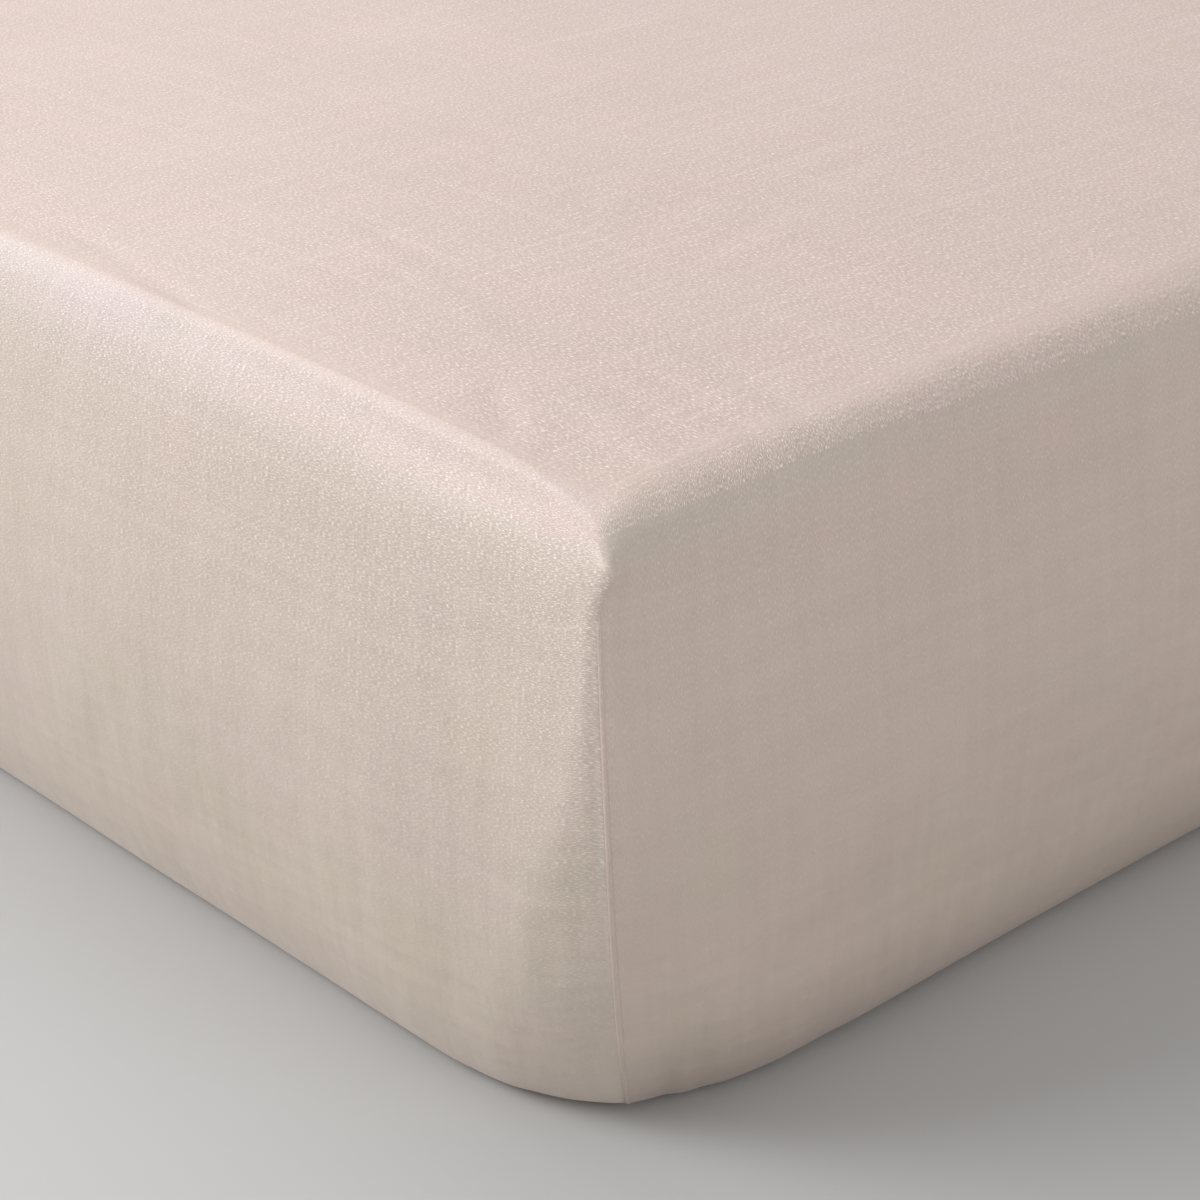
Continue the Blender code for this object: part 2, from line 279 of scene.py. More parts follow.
# the main folds, as on the solid, in millimetres: along, over, to along, to over, half width, rise. On a
# flap, along is x or y and over is the height; on the top they are x and y.
folds = {
    "side": [
        (-930, 55, -800, 130, 20, 1.8),
        (-800, 290, -740, 30, 45, 1.2),
        (-560, 290, -480, 20, 70, 1.8),
        (-200, 290, -170, 20, 80, 1.4),
        (180, 290, 200, 20, 80, 1.6),
        (620, 290, 700, 20, 70, 1.8),
    ],
    "foot": [
        (330, 290, 320, 30, 40, 1.2),
        (140, 290, 100, 20, 60, 1.6),
        (-140, 290, -230, 20, 70, 1.8),
    ],
    "head": [
        (210, 290, 270, 20, 60, 1.6),
        (-80, 290, -110, 20, 70, 1.2),
        (-330, 290, -360, 20, 50, 1.4),
    ],
    "farSide": [
        (-640, 290, -710, 20, 70, 1.6),
        (-260, 290, -300, 20, 80, 1.2),
        (150, 290, 190, 20, 80, 1.8),
        (560, 290, 660, 20, 70, 1.6),
    ],
    "top": [
        (380, -620, -260, -470, 55, 1.0),
        (340, -100, -120, -250, 70, 1.2),
        (120, -820, 200, -300, 60, 1.0),
        (-250, 50, -160, 560, 70, 1.0),
        (260, 360, -300, 300, 70, 1.2),
        (300, 700, -200, 780, 60, 1.0),
    ],
}

# a crease bows a little, wavers, swells and thins along its length, and dies out at its ends
creaseForm = {
    "rise": 1.5,  # what the rises below are multiplied by
    "bow": 0.08,  # share of its length
    "waver": (0.0012, 95),  # how far aside, and radians to a metre
    "swell": (0.25, 60),  # share of its rise, and radians to a metre
    "fade": (0.12, 0.30),  # shares of its length: how far it fades past its ends, and over what run
    "phase": (37, 53),  # by its start, so that no two waver alike
}

# the creases, in millimetres as the folds are. A trough has a negative rise.
creases = {
    "foot": [
        (178, 235, 160, 170, 5, 0.20),
        (160, 170, 130, 30, 5, 0.28),
        (176, 135, 158, 60, 5, 0.18),
        (374, 150, 362, 30, 5, 0.26),
        (352, 150, 347, 55, 5, 0.12),
        (393, 160, 391, 50, 5, 0.14),
        (423, 235, 417, 85, 8, 0.26),
        (404, 245, 394, 185, 6, 0.16),
        (212, 140, 196, 50, 5, 0.12),
        (125, 140, 95, 140, 14, 0.34),
        (100, 105, 32, 40, 11, 0.42),
        (345, 290, 345, 245, 6, 0.16),
        (386, 290, 390, 235, 6, 0.14),
        (22, 190, 8, 80, 12, 0.36),
        (325, 285, 316, 170, 6, -0.26),
        (316, 170, 301, 30, 6, -0.32),
        (312, 275, 303, 150, 6, -0.14),
        (94, 290, 64, 215, 10, -0.42),
        (64, 215, 52, 180, 9, -0.24),
        (68, 180, 60, 105, 22, -0.50),
        (34, 92, 18, 40, 9, -0.36),
        (118, 110, 100, 35, 12, -0.36),
        (166, 240, 156, 185, 6, -0.16),
        (337, 275, 330, 205, 6, -0.18),
        (380, 155, 376, 85, 5, -0.16),
        (406, 115, 400, 45, 6, -0.18),
        (185, 186, 300, 183, 4, 0.10),
        (190, 171, 305, 168, 4, 0.12),
        (190, 156, 300, 152, 4, 0.14),
        (240, 116, 290, 113, 4, 0.12),
        (60, 262, 125, 260, 5, -0.12),
        (195, 246, 305, 241, 5, -0.12),
        (255, 206, 335, 204, 4, 0.10),
        (-60, 280, -90, 60, 9, 0.34),
        (-180, 285, -215, 110, 8, -0.36),
        (-245, 250, -290, 30, 7, 0.30),
        (-300, 285, -330, 140, 8, -0.30),
        (-345, 200, -372, 30, 6, 0.26),
        (-395, 270, -402, 80, 7, -0.26),
        (-420, 230, -421, 70, 8, 0.22),
        (-300, 165, -120, 172, 5, 0.14),
        (-260, 120, -100, 112, 5, -0.14),
    ],
    "side": [
        (-944, 125, -900, 122, 6, -0.30),
        (-938, 82, -892, 98, 7, 0.55),
        (-936, 64, -895, 78, 8, -0.60),
        (-920, 46, -880, 52, 6, 0.35),
        (-862, 60, -820, 50, 6, 0.40),
        (-850, 44, -800, 40, 6, -0.40),
        (-770, 62, -700, 66, 7, -0.35),
        (-900, 122, -845, 126, 6, -0.24),
        (-845, 126, -735, 150, 8, -0.22),
        (-944, 112, -840, 112, 4, 0.18),
        (-930, 138, -870, 140, 9, 0.26),
        (-935, 105, -930, 60, 9, -0.46),
        (-803, 285, -803, 185, 6, -0.20),
        (-813, 255, -813, 150, 5, 0.22),
        (-790, 255, -785, 185, 5, 0.12),
        (-771, 285, -767, 195, 6, 0.16),
        (-708, 225, -692, 135, 8, -0.26),
        (-705, 258, -689, 215, 6, 0.22),
        (-722, 255, -716, 225, 6, 0.16),
        (-888, 125, -884, 60, 7, 0.26),
        (-866, 120, -864, 70, 6, 0.14),
        (-857, 85, -857, 20, 6, -0.44),
        (-895, 60, -893, 30, 7, -0.30),
        (-780, 95, -779, 30, 7, 0.34),
        (-796, 105, -794, 40, 6, -0.30),
        (-752, 135, -746, 25, 5, 0.40),
        (-763, 100, -760, 30, 6, -0.28),
        (-739, 85, -737, 35, 5, -0.34),
        (-728, 110, -727, 40, 5, 0.24),
        (-712, 105, -710, 40, 6, 0.18),
        (-680, 125, -686, 30, 7, -0.34),
        (-655, 110, -640, 90, 8, 0.20),
        (-640, 250, -585, 240, 9, -0.28),
        (-600, 235, -590, 215, 7, 0.20),
        (-900, 236, -835, 234, 4, 0.14),
        (-690, 120, -560, 112, 8, 0.24),
        (-830, 63, -690, 58, 5, -0.16),
        (-640, 178, -590, 170, 5, -0.14),
        (-560, 260, -540, 120, 8, 0.26),
        (-530, 130, -515, 30, 7, -0.34),
        (-470, 280, -440, 90, 9, -0.30),
        (-420, 110, -405, 30, 7, 0.32),
        (-380, 270, -360, 150, 9, 0.24),
        (-300, 120, -295, 30, 7, -0.34),
        (-240, 275, -225, 100, 9, 0.28),
        (-120, 120, -118, 30, 8, 0.34),
        (-90, 280, -80, 140, 9, -0.28),
        (30, 130, 35, 30, 8, -0.36),
        (90, 270, 85, 120, 9, 0.26),
        (210, 110, 215, 30, 7, 0.34),
        (270, 280, 300, 120, 9, -0.30),
        (380, 120, 392, 30, 8, -0.30),
        (450, 270, 480, 130, 9, 0.28),
        (560, 120, 575, 30, 7, 0.34),
        (690, 275, 730, 100, 8, -0.30),
        (760, 120, 772, 30, 6, 0.32),
        (830, 240, 850, 120, 8, 0.24),
        (880, 120, 884, 40, 7, -0.34),
        (925, 60, 810, 140, 8, 0.30),
    ],
    "head": [
        (420, 240, 416, 70, 8, 0.26),
        (380, 270, 372, 60, 7, -0.30),
        (330, 200, 318, 30, 6, 0.26),
        (270, 285, 255, 120, 8, -0.34),
        (190, 270, 215, 60, 8, 0.34),
        (110, 190, 120, 30, 7, -0.30),
        (40, 285, 30, 90, 9, 0.30),
        (-50, 160, -62, 30, 7, -0.32),
        (-130, 275, -150, 100, 9, -0.28),
        (-210, 200, -240, 30, 7, 0.32),
        (-290, 280, -315, 120, 8, 0.26),
        (-370, 230, -385, 50, 7, -0.28),
        (-418, 200, -420, 70, 7, 0.24),
        (120, 170, 280, 176, 5, 0.14),
        (-240, 150, -60, 144, 5, -0.14),
    ],
    "farSide": [
        (-930, 60, -815, 140, 8, 0.32),
        (-880, 125, -884, 40, 7, -0.34),
        (-820, 260, -850, 120, 8, -0.26),
        (-745, 130, -752, 30, 6, 0.34),
        (-670, 275, -700, 100, 9, 0.28),
        (-580, 120, -592, 30, 7, -0.32),
        (-500, 280, -525, 110, 9, -0.30),
        (-410, 120, -420, 30, 7, 0.34),
        (-330, 270, -345, 120, 9, 0.26),
        (-220, 130, -226, 30, 8, -0.34),
        (-130, 280, -140, 110, 9, -0.28),
        (-30, 120, -34, 30, 7, 0.32),
        (60, 275, 65, 130, 9, 0.28),
        (170, 120, 176, 30, 8, -0.34),
        (260, 270, 275, 100, 9, 0.26),
        (370, 130, 380, 30, 7, 0.34),
        (470, 280, 500, 120, 9, -0.30),
        (600, 120, 612, 30, 7, -0.32),
        (680, 270, 715, 110, 9, 0.28),
        (780, 130, 792, 30, 7, 0.32),
        (860, 220, 880, 90, 8, -0.28),
    ],
    "top": [
        (170, -315, 240, -350, 6, 0.24),
        (240, -350, 330, -400, 6, 0.30),
        (160, -345, 220, -375, 14, -0.40),
        (170, -395, 225, -420, 10, -0.26),
        (20, -450, 190, -500, 6, 0.22),
        (190, -500, 300, -545, 6, 0.20),
        (300, -545, 435, -596, 6, 0.34),
        (15, -460, 110, -480, 6, -0.22),
        (110, -490, 190, -512, 6, -0.22),
        (30, -640, 110, -668, 6, 0.18),
        (20, -655, 120, -690, 6, -0.14),
        (85, -797, 180, -818, 6, 0.18),
        (180, -818, 285, -852, 6, 0.26),
        (95, -790, 250, -826, 6, -0.22),
        (20, -900, 180, -926, 6, -0.34),
        (270, -735, 440, -772, 6, -0.26),
        (330, -795, 440, -818, 5, -0.26),
        (340, -810, 445, -832, 5, 0.22),
        (345, -830, 445, -848, 5, -0.26),
        (340, -850, 440, -866, 6, -0.22),
        (340, -868, 420, -884, 6, 0.20),
        (308, -878, 365, -920, 8, -0.40),
        (378, -878, 384, -920, 7, -0.28),
        (194, -495, 206, -590, 6, 0.34),
        (206, -590, 222, -680, 6, 0.24),
        (184, -505, 190, -605, 6, -0.28),
        (232, -545, 252, -610, 6, 0.26),
        (252, -610, 282, -735, 5, 0.30),
        (238, -635, 272, -735, 6, -0.34),
        (142, -612, 200, -720, 6, 0.24),
        (132, -655, 165, -700, 8, -0.32),
        (205, -650, 220, -720, 8, -0.22),
        (256, -345, 252, -430, 6, 0.20),
        (256, -440, 250, -470, 10, 0.36),
        (78, -370, 86, -425, 7, -0.26),
        (112, -395, 110, -440, 9, 0.20),
        (4, -490, 28, -620, 9, 0.28),
        (-45, -370, -34, -500, 10, -0.26),
        (414, -590, 412, -700, 4, 0.14),
        (424, -600, 420, -780, 4, 0.16),
        (388, -660, 386, -740, 5, -0.16),
        (104, -825, 126, -885, 6, 0.20),
        (40, -695, 52, -735, 7, -0.26),
        (325, -630, 338, -690, 6, 0.20),
        (272, -570, 278, -600, 7, -0.30),
        (310, -520, 325, -530, 12, -0.30),
        (358, -885, 366, -940, 6, 0.20),
        (40, -285, 100, -310, 8, -0.34),
        (120, -240, 135, -330, 7, -0.26),
        (50, -260, 30, -250, 8, 0.24),
        (-130, -720, -60, -790, 10, -0.24),
        (-240, -620, -150, -650, 9, 0.22),
        (-330, -760, -250, -790, 9, -0.26),
        (-300, -480, -285, -600, 9, -0.26),
        (-180, -400, -170, -520, 9, 0.24),
        (-390, -560, -300, -540, 9, 0.26),
        (360, -240, 280, -190, 10, 0.30),
        (200, -150, 340, -110, 10, -0.30),
        (80, -60, 100, 80, 11, 0.30),
        (-100, -180, -80, -30, 11, -0.28),
        (-260, -160, -140, -120, 10, 0.28),
        (-380, -80, -280, -30, 10, -0.28),
        (250, 60, 270, 200, 11, -0.30),
        (400, 120, 310, 160, 10, 0.28),
        (20, 190, 160, 230, 11, 0.30),
        (-200, 220, -60, 180, 11, -0.28),
        (-320, 160, -300, 320, 11, 0.30),
        (120, 330, 140, 470, 12, -0.30),
        (330, 350, 210, 420, 11, 0.28),
        (-100, 380, 20, 420, 11, 0.26),
        (-240, 440, -220, 580, 12, -0.30),
        (280, 540, 400, 580, 10, -0.28),
        (60, 580, 180, 620, 11, 0.30),
        (-120, 640, 10, 600, 11, -0.28),
        (-360, 640, -260, 700, 10, 0.28),
        (340, 720, 360, 840, 9, 0.28),
        (180, 760, 300, 800, 9, -0.28),
        (-40, 760, -20, 880, 10, 0.26),
        (-200, 820, -80, 860, 9, -0.26),
        (-340, 820, -320, 910, 9, 0.28),
    ],
}


def ripple(distance, at, width, rise):
    # one gather, pucker or swell, in millimetres
    return rise / 1000 * bump(distance - at / 1000, width / 1000)


def fromRow(along, over, row):
    # how far these places are past the start of a fold or crease and aside from it, and its length
    startAlong, startOver, endAlong, endOver = row[:4]
    runAlong = endAlong - startAlong
    runOver = endOver - startOver
    length = math.hypot(runAlong, runOver)
    past = ((along - startAlong) * runAlong + (over - startOver) * runOver) / length
    aside = ((over - startOver) * runAlong - (along - startAlong) * runOver) / length
    return past, aside, length


def foldStand(along, over, row):
    # how far one fold stands out at these places
    past, aside, length = fromRow(along, over, row)
    pastEnd = np.maximum(np.maximum(-past, past - length), 0)
    width, rise = row[4:]
    return rise * bump(aside, width) * bump(pastEnd, width)


def creaseStand(along, over, row):
    past, aside, length = fromRow(along, over, row)
    share = past / length
    byAlong, byOver = creaseForm["phase"]
    phase = byAlong * row[0] + byOver * row[1]
    aside = aside - creaseForm["bow"] * length * math.sin(phase) * share * (1 - share)
    waver, turns = creaseForm["waver"]
    aside = aside - waver * np.sin(turns * past + phase)
    swell, turns = creaseForm["swell"]
    rise = row[5] * creaseForm["rise"] * (1 + swell * np.sin(turns * past + 2 * phase))
    reach, run = creaseForm["fade"]
    ends = smooth((share + reach) / run) * smooth((1 + reach - share) / run)
    return rise * ends * bump(aside, row[4])


def clothStand(panel, along, over):
    # how far the cloth stands out on its folds and creases
    total = np.zeros(np.shape(along))
    for rows, stand in ((folds, foldStand), (creases, creaseStand)):
        for row in rows[panel]:
            total += stand(along, over, [value / 1000 for value in row])
    return total


def roundOfSide(y):
    # radius over a long edge of the top
    fromCorner = sheet["halfLength"] - abs(y)
    widen = smooth(fromCorner / sheet["topRoundSidesRun"])
    begin, end = sheet["topRoundNearTo"]
    near = smooth(fromCorner / sheet["topRoundNearFrom"]) * smooth((end - fromCorner) / (end - begin))
    wider = (sheet["topRoundSides"] - sheet["topRoundCorners"]) * widen + sheet["topRoundNear"] * near
    return sheet["topRoundCorners"] + wider


def roundOfEnd(x, size="topRoundEnds"):
    # how far in the cloth turns down at the foot and the head, or over what height, with topRiseEnds
    grown = smooth((sheet["halfWidth"] - abs(x)) / sheet[size + "Run"])
    return sheet["topRoundCorners"] + (sheet[size] - sheet["topRoundCorners"]) * grown


def topPoints(x, y):
    # x and y are measured on the flat cloth, which is drawn in towards its edges
    insetX = roundOfSide(y) * (1 - easeOut((sheet["halfWidth"] - abs(x)) / sheet["gatherRun"]))
    insetY = roundOfEnd(x) * (1 - easeOut((sheet["halfLength"] - abs(y)) / sheet["gatherRun"]))
    x, y = x - np.sign(x) * insetX, y - np.sign(y) * insetY
    acrossShare, alongShare = x / sheet["halfWidth"], y / sheet["halfLength"]
    crown = sheet["crown"] * (1 - acrossShare**2) * (1 - sheet["crownFallAtEnds"] * alongShare**4)
    toCorner = np.hypot(sheet["halfWidth"] - abs(x), sheet["halfLength"] - abs(y))
    drop = sheet["cornerDrop"] * np.exp(-toCorner / sheet["cornerDropReach"])
    drop += sheet["endDrop"] * np.exp(-(sheet["halfLength"] - abs(y)) / sheet["endDropReach"])
    z = sheet["edgeHeight"] + crown - drop + clothStand("top", x, y)
    return np.stack([x, y, z], axis=-1)


def topLean(x, y, onEnd):
    # the slope with which the top reaches its edge
    shareX, shareY = sheet["leanAt"]
    inward = topPoints(np.where(onEnd, x, x * shareX), np.where(onEnd, y * shareY, y)) - topPoints(x, y)
    return inward[..., 2] / np.hypot(inward[..., 0], inward[..., 1])


def flapLevels(top, side, bottom, hem):
    # facing in degrees from straight up, how far down the side as a share, how far under
    levels = [(angle, 0.0, 0.0) for angle in np.linspace(0, 90, top)]
    levels += [(90.0, fall, 0.0) for fall in np.linspace(0, 1, side)[1:]]
    levels += [(angle, 1.0, 0.0) for angle in np.linspace(90, 180, bottom)[1:]]
    levels += [(180.0, 1.0, under) for under in np.linspace(0, sheet["hemUnder"], hem)[1:]]
    return np.array(levels)


def cornerRadius(facing, fall, under, share):
    out = np.sin(facing)
    atFloor = sheet["cornerAtBottom"] - sheet["bottomRound"]
    pinched, loose = sheet["cornerSharp"]
    spread = (1 - share) ** sheet["cornerSpread"] * smooth((pinched - share) / (pinched - loose))
    onSide = sheet["cornerAtSeam"] + (sheet["cornerAtBottom"] - sheet["cornerAtSeam"]) * spread
    begin, end = sheet["cornerNarrows"]
    aboveSeam = smooth((share * sheet["edgeHeight"] - end) / (begin - end))
    onSide += (sheet["cornerAtTop"] - sheet["cornerAtSeam"]) * aboveSeam
    radius = onSide - sheet["bottomRound"] * (1 - out)
    radius = np.where(fall == 0, sheet["cornerAtTop"] * out, radius)
    onHem = atFloor + (sheet["cornerAtHem"] - atFloor) * under / sheet["hemUnder"]
    return np.where(under > 0, onHem, radius)


def gatherLift(x, y, distance, facing, under):
    begin = math.radians(sheet["gatherStart"])
    atRoll = sheet["gatherAtRoll"] * np.clip((facing - begin) / (math.pi - begin), 0, 1)
    share = atRoll + (1 - atRoll) * easeOut(under / sheet["hemUnder"])
    share = np.where(facing > begin, share, 0)
    corner = np.array([cornerGather[signs] for signs in zip(np.sign(x), np.sign(y))])
    return share * corner * sum(ripple(distance, *row) for row in gathers)


def flapSection(x, y, onEnd, facing, fall, under):
    # the height of each point, how far below the top that is, its share of the whole height, and how far in
    # from the side's line it lies
    out = np.sin(facing)
    topRound = np.where(onEnd, roundOfEnd(x), roundOfSide(y))
    topRise = np.where(onEnd, roundOfEnd(x, "topRiseEnds"), topRound)
    edge = topPoints(x, y)[..., 2]
    high, low = edge - topRise, sheet["bottomRise"]
    z = high + (low - high) * fall
    lean = topLean(x, y, onEnd) * topRound * out * (1 - out)
    z = np.where(fall == 0, high + topRise * np.cos(facing) - lean, z)
    z = np.where(fall == 1, low + low * np.cos(facing), z)
    inset = np.where(fall == 0, topRound, sheet["bottomRound"]) * (1 - out)
    height = np.clip(z / sheet["edgeHeight"], 0, 1)
    bulge = sheet["sideBulge"] * np.maximum(np.sin(math.pi * height), 0) ** sheet["sideBulgePower"]
    return z, edge - z, height, inset + under - bulge


def flapPlan(onEnd, distance, inset, radius, height):
    # where each point of the corner at +X +Y lies in plan, and which way it faces there
    drift = sheet["seamDrift"] * (1 - height)
    arc = radius * math.pi / 4
    near = 1 - easeOut(distance / sheet["gatherRun"])
    along = distance - (inset + radius - arc) * (1 - near)
    pastMiddle = np.where(onEnd, drift * near - along, drift * near + along)
    angle = np.clip(math.radians(45) - pastMiddle / np.maximum(radius, 1e-6), 0, math.pi / 2)
    normalX, normalY = np.cos(angle), np.sin(angle)
    atX = sheet["halfWidth"] - inset - radius + radius * normalX + np.minimum(pastMiddle + arc, 0)
    atY = sheet["halfLength"] - inset - radius + radius * normalY - np.maximum(pastMiddle - arc, 0)
    return atX, atY, normalX, normalY


def cornerPush(onEnd, distance, below, height, radius):
    # how far the cloth stands out near a corner: swells and puckers, which fade upwards, the pinch along the
    # seam, the tuck where it starts, and the groove beside it
    push = np.zeros(height.shape)
    for rows, fade in ((swells, 2), (puckers, 5)):
        for flap, *row in rows:
            onFlap = onEnd == (flap == "end")
            push += (1 - height) ** fade * np.where(onFlap, ripple(distance, *row), 0)
    fold = np.minimum(sheet["seamFold"], sheet["seamFoldShare"] * radius)
    fold *= smooth((below - sheet["seamStart"]) / sheet["seamFoldBegins"] + 0.5)
    fold *= sheet["seamFoldLow"] + (1 - sheet["seamFoldLow"]) * smooth(height / sheet["seamFoldWhole"])
    tuck = sheet["tuckDepth"] * bump(below - sheet["seamStart"], sheet["tuckReach"])
    push += fold * np.exp(-distance / sheet["seamFoldRun"]) - tuck * bump(distance, sheet["tuckWidth"])
    gone, run = sheet["grooveFades"]
    deep = sheet["grooveDepth"] * smooth((below - sheet["seamStart"]) / sheet["grooveBegins"])
    deep *= smooth((height - gone) / run)
    return push - deep * bump(distance - sheet["grooveAt"], sheet["grooveWidth"])


def flapPoints(x, y, levels):
    # x and y say where each column leaves the top; the result has a row for each level
    onEnd = np.isclose(abs(y), sheet["halfLength"])
    distance = np.where(onEnd, sheet["halfWidth"] - abs(x), sheet["halfLength"] - abs(y))
    facing, fall, under = np.radians(levels[:, :1]), levels[:, 1:2], levels[:, 2:]
    out = np.sin(facing)
    signX, signY = np.sign(x), np.sign(y)
    z, below, height, inset = flapSection(x, y, onEnd, facing, fall, under)
    radius = cornerRadius(facing, fall, under, height)
    atX, atY, normalX, normalY = flapPlan(onEnd, distance, inset, radius, height)
    push = cornerPush(onEnd, distance, below, height, radius)
    place = np.where(onEnd, atX * signX, atY * signY)
    for panel, mask in (
        ("foot", onEnd & (y < 0)),
        ("head", onEnd & (y > 0)),
        ("side", ~onEnd & (x > 0)),
        ("farSide", ~onEnd & (x < 0)),
    ):
        push[:, mask] += clothStand(panel, place[:, mask], z[:, mask])
    push *= out
    earRun = np.where(onEnd, bump(distance, sheet["earRunEnd"]), np.exp(-distance / sheet["earRunSide"]))
    atX = atX + sheet["ear"] * out * bump(below - sheet["earAt"], sheet["earReach"]) * earRun
    z = z + gatherLift(x, y, distance, facing, under)
    return np.stack([signX * (atX + normalX * push), signY * (atY + normalY * push), z], axis=-1)


def borderColumns(countX, countY):
    # grid places round the top, anticlockwise from the corner at -X -Y
    foot = [(i, 0) for i in range(countX - 1)]
    side = [(countX - 1, j) for j in range(countY - 1)]
    head = [(i, countY - 1) for i in range(countX - 1, 0, -1)]
    farSide = [(0, j) for j in range(countY - 1, 0, -1)]
    return foot, side, head, farSide


def lineSpacing(half, nearSign):
    # the mesh's spacing along one side, tight at its ends and in the half that the photograph shows
    def spacing(place):
        fromEnd = half - abs(place)
        atCorner = np.where(place * nearSign > 0, grain["atShownCorner"], grain["atCorner"])
        unseen = smooth((half - nearSign * place - grain["shownReach"]) / grain["unseenRun"])
        limit = grain["shown"] + (grain["unseen"] - grain["shown"]) * unseen
        return np.minimum(atCorner + grain["grow"] * fromEnd, limit)

    return spacing


def addFlatMap(mesh, flat):
    # the cloth's own flat pattern, in metres, as its UV map
    layer = mesh.uv_layers.new(name="flat")
    layer.data.foreach_set("uv", np.asarray(flat, np.float32).ravel())


def makeSheet():
    every = grain["insideEvery"]
    xs = linesAcross(sheet["halfWidth"], lineSpacing(sheet["halfWidth"], 1), every)
    ys = linesAcross(sheet["halfLength"], lineSpacing(sheet["halfLength"], -1), every)
    levels = flapLevels(*grain["levels"])
    print("sheet mesh:", len(xs), "by", len(ys), "lines,", len(levels), "levels")
    runs = borderColumns(len(xs), len(ys))
    border = [place for run in runs for place in run]
    panelOf = np.array([panel for panel, run in enumerate(runs) for _ in run])
    borderX, borderY = np.array([(xs[i], ys[j]) for i, j in border]).T
    rings = flapPoints(borderX, borderY, levels)
    gridX, gridY = np.meshgrid(xs, ys, indexing="ij")

    # the points are the whole top, then each ring below its border
    points = np.concatenate([topPoints(gridX, gridY).reshape(-1, 3), rings[1:].reshape(-1, 3)])
    index = np.arange(gridX.size).reshape(gridX.shape)
    count = len(border)
    ringIndex = [np.array([index[place] for place in border])]
    ringIndex += [index.size + ring * count + np.arange(count) for ring in range(len(levels) - 1)]

    # the flaps are laid out flat beyond the top's edges
    down = np.linalg.norm(np.diff(rings, axis=0), axis=-1).cumsum(axis=0)
    down = np.concatenate([np.zeros((1, count)), down])
    outward = np.array([(0, -1), (1, 0), (0, 1), (-1, 0)])[panelOf]

    def laidFlat(ring, columns, direction):
        return rings[0][columns, :2] + direction * down[ring][columns][:, None]

    def clothFaces(step):
        grid = index[::step, ::step]
        faces = np.stack([grid[:-1, :-1], grid[1:, :-1], grid[1:, 1:], grid[:-1, 1:]], -1).reshape(-1, 4)
        flats = [points[faces][..., :2]]
        faces = [faces]
        here = np.arange(0, count, step)
        after = np.roll(here, -1)
        for upper in range(len(levels) - 1):
            a, b = ringIndex[upper], ringIndex[upper + 1]
            faces.append(np.stack([a[here], b[here], b[after], a[after]], -1))
            around = ((upper, here), (upper + 1, here), (upper + 1, after), (upper, after))
            flats.append(np.stack([laidFlat(ring, columns, outward[here]) for ring, columns in around], 1))
        return np.concatenate(faces), np.concatenate(flats)

    faces, flats = clothFaces(1)
    mesh = bpy.data.meshes.new("outside")
    mesh.from_pydata(points.tolist(), [], faces.tolist())
    normals = np.empty(3 * len(points), np.float32)
    mesh.vertex_normals.foreach_get("vector", normals)
    bpy.data.meshes.remove(mesh)

    # the inside, a cloth's thickness in, and the edge of the hem between the two
    insideFaces, insideFlats = clothFaces(every)
    used = np.unique(insideFaces)
    insideOf = np.zeros(len(points), int)
    insideOf[used] = len(points) + np.arange(len(used))
    inside = points[used] - sheet["thick"] * normals.reshape(-1, 3)[used]
    hem = ringIndex[-1]
    edges, edgeFlats = [], []
    for k in range(0, count, every):
        group = [(k + n) % count for n in range(every, -1, -1)]
        edges.append([hem[n] for n in group] + [insideOf[hem[group[-1]]], insideOf[hem[group[0]]]])
        edgeFlats += laidFlat(-1, group + [group[-1], group[0]], outward[k]).tolist()
    allFaces = faces.tolist() + insideOf[insideFaces[:, ::-1]].tolist() + edges
    allFlats = np.concatenate([flats.reshape(-1, 2), insideFlats[:, ::-1].reshape(-1, 2), edgeFlats])

    mesh = bpy.data.meshes.new("fittedSheet")
    mesh.from_pydata(np.concatenate([points, inside]).tolist(), [], allFaces)
    addFlatMap(mesh, allFlats)
    mesh.shade_smooth()
    return addObject("fittedSheet", mesh)


# the seam that joins two flaps at a corner: a narrow ridge that each stitch draws in a little
seam = {
    "halfWidth": 0.0010,
    "rise": 0.0008,
    "sunk": 0.0003,
    "stitch": 0.0028,
    "stitchDip": 0.08,  # share of the rise
    "taper": 0.012,  # run over which it grows out of the tuck
    "startShare": 0.15,  # share of the rise that it starts with
    "endTaper": (0.002, 0.1),  # run over which it ends, and the share of the taper that is left at its end
    "fall": (0.120, 0.260),  # run over which it flattens lower down
    "low": 0.85,  # share of the rise that is left there
    "widens": 0.45,  # share of the width that it gains there
    "samples": 4,  # rings to a stitch
    "sides": 6,
    "arcSteps": 30,  # of the line that it follows
    "sideSteps": 90,
}


